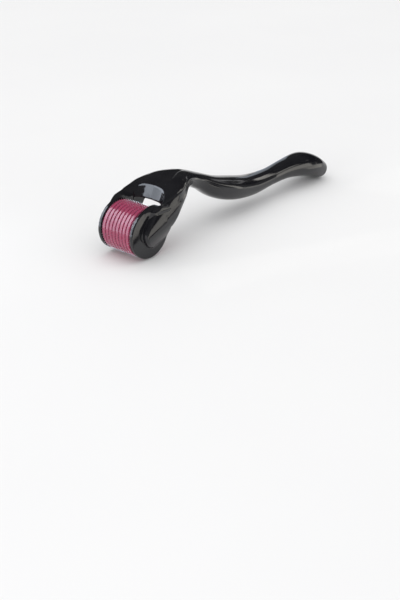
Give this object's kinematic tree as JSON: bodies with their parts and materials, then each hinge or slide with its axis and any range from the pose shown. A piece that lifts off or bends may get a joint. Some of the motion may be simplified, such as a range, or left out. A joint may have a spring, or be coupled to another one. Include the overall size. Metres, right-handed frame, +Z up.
{
  "type": "derma roller",
  "caption": "Hand-held micro-needle roller: S-curved glossy handle with a two-eared fork and a free-rolling drum of needle discs and spacer rings.",
  "frame": {"origin": "centre of the bounding box, on the plane that the needle tips and the tail rest on", "axes": "+X from the head to the tail, +Y along the drum's axis to the left, +Z up"},
  "size_m": [0.1449, 0.0264, 0.0306],
  "materials": {
    "handle_plastic": "glossy black ABS",
    "spacer_plastic": "glossy translucent magenta polycarbonate",
    "core_plastic": "moulded dark magenta",
    "needle_steel": "etched medical stainless steel",
    "pin_steel": "turned stainless steel"
  },
  "bodies": {
    "handle": {"handle": "handle_plastic"},
    "drum": {"axle_pin": "pin_steel", "drum_core": "core_plastic", "needle_disc_1": "needle_steel", "needle_disc_2": "needle_steel", "needle_disc_3": "needle_steel", "needle_disc_4": "needle_steel", "needle_disc_5": "needle_steel", "needle_disc_6": "needle_steel", "needle_disc_7": "needle_steel", "needle_disc_8": "needle_steel", "needle_disc_9": "needle_steel", "spacer_ring_1": "spacer_plastic", "spacer_ring_2": "spacer_plastic", "spacer_ring_3": "spacer_plastic", "spacer_ring_4": "spacer_plastic", "spacer_ring_5": "spacer_plastic", "spacer_ring_6": "spacer_plastic", "spacer_ring_7": "spacer_plastic", "spacer_ring_8": "spacer_plastic", "left_end_cap": "spacer_plastic", "right_end_cap": "spacer_plastic"}
  },
  "joints": [
    {"name": "drum_spin", "type": "hinge", "parent": "handle", "child": "drum", "pos_m": [-0.06094, 0, 0.0115], "axis": [0, 1, 0], "continuous": true}
  ]
}
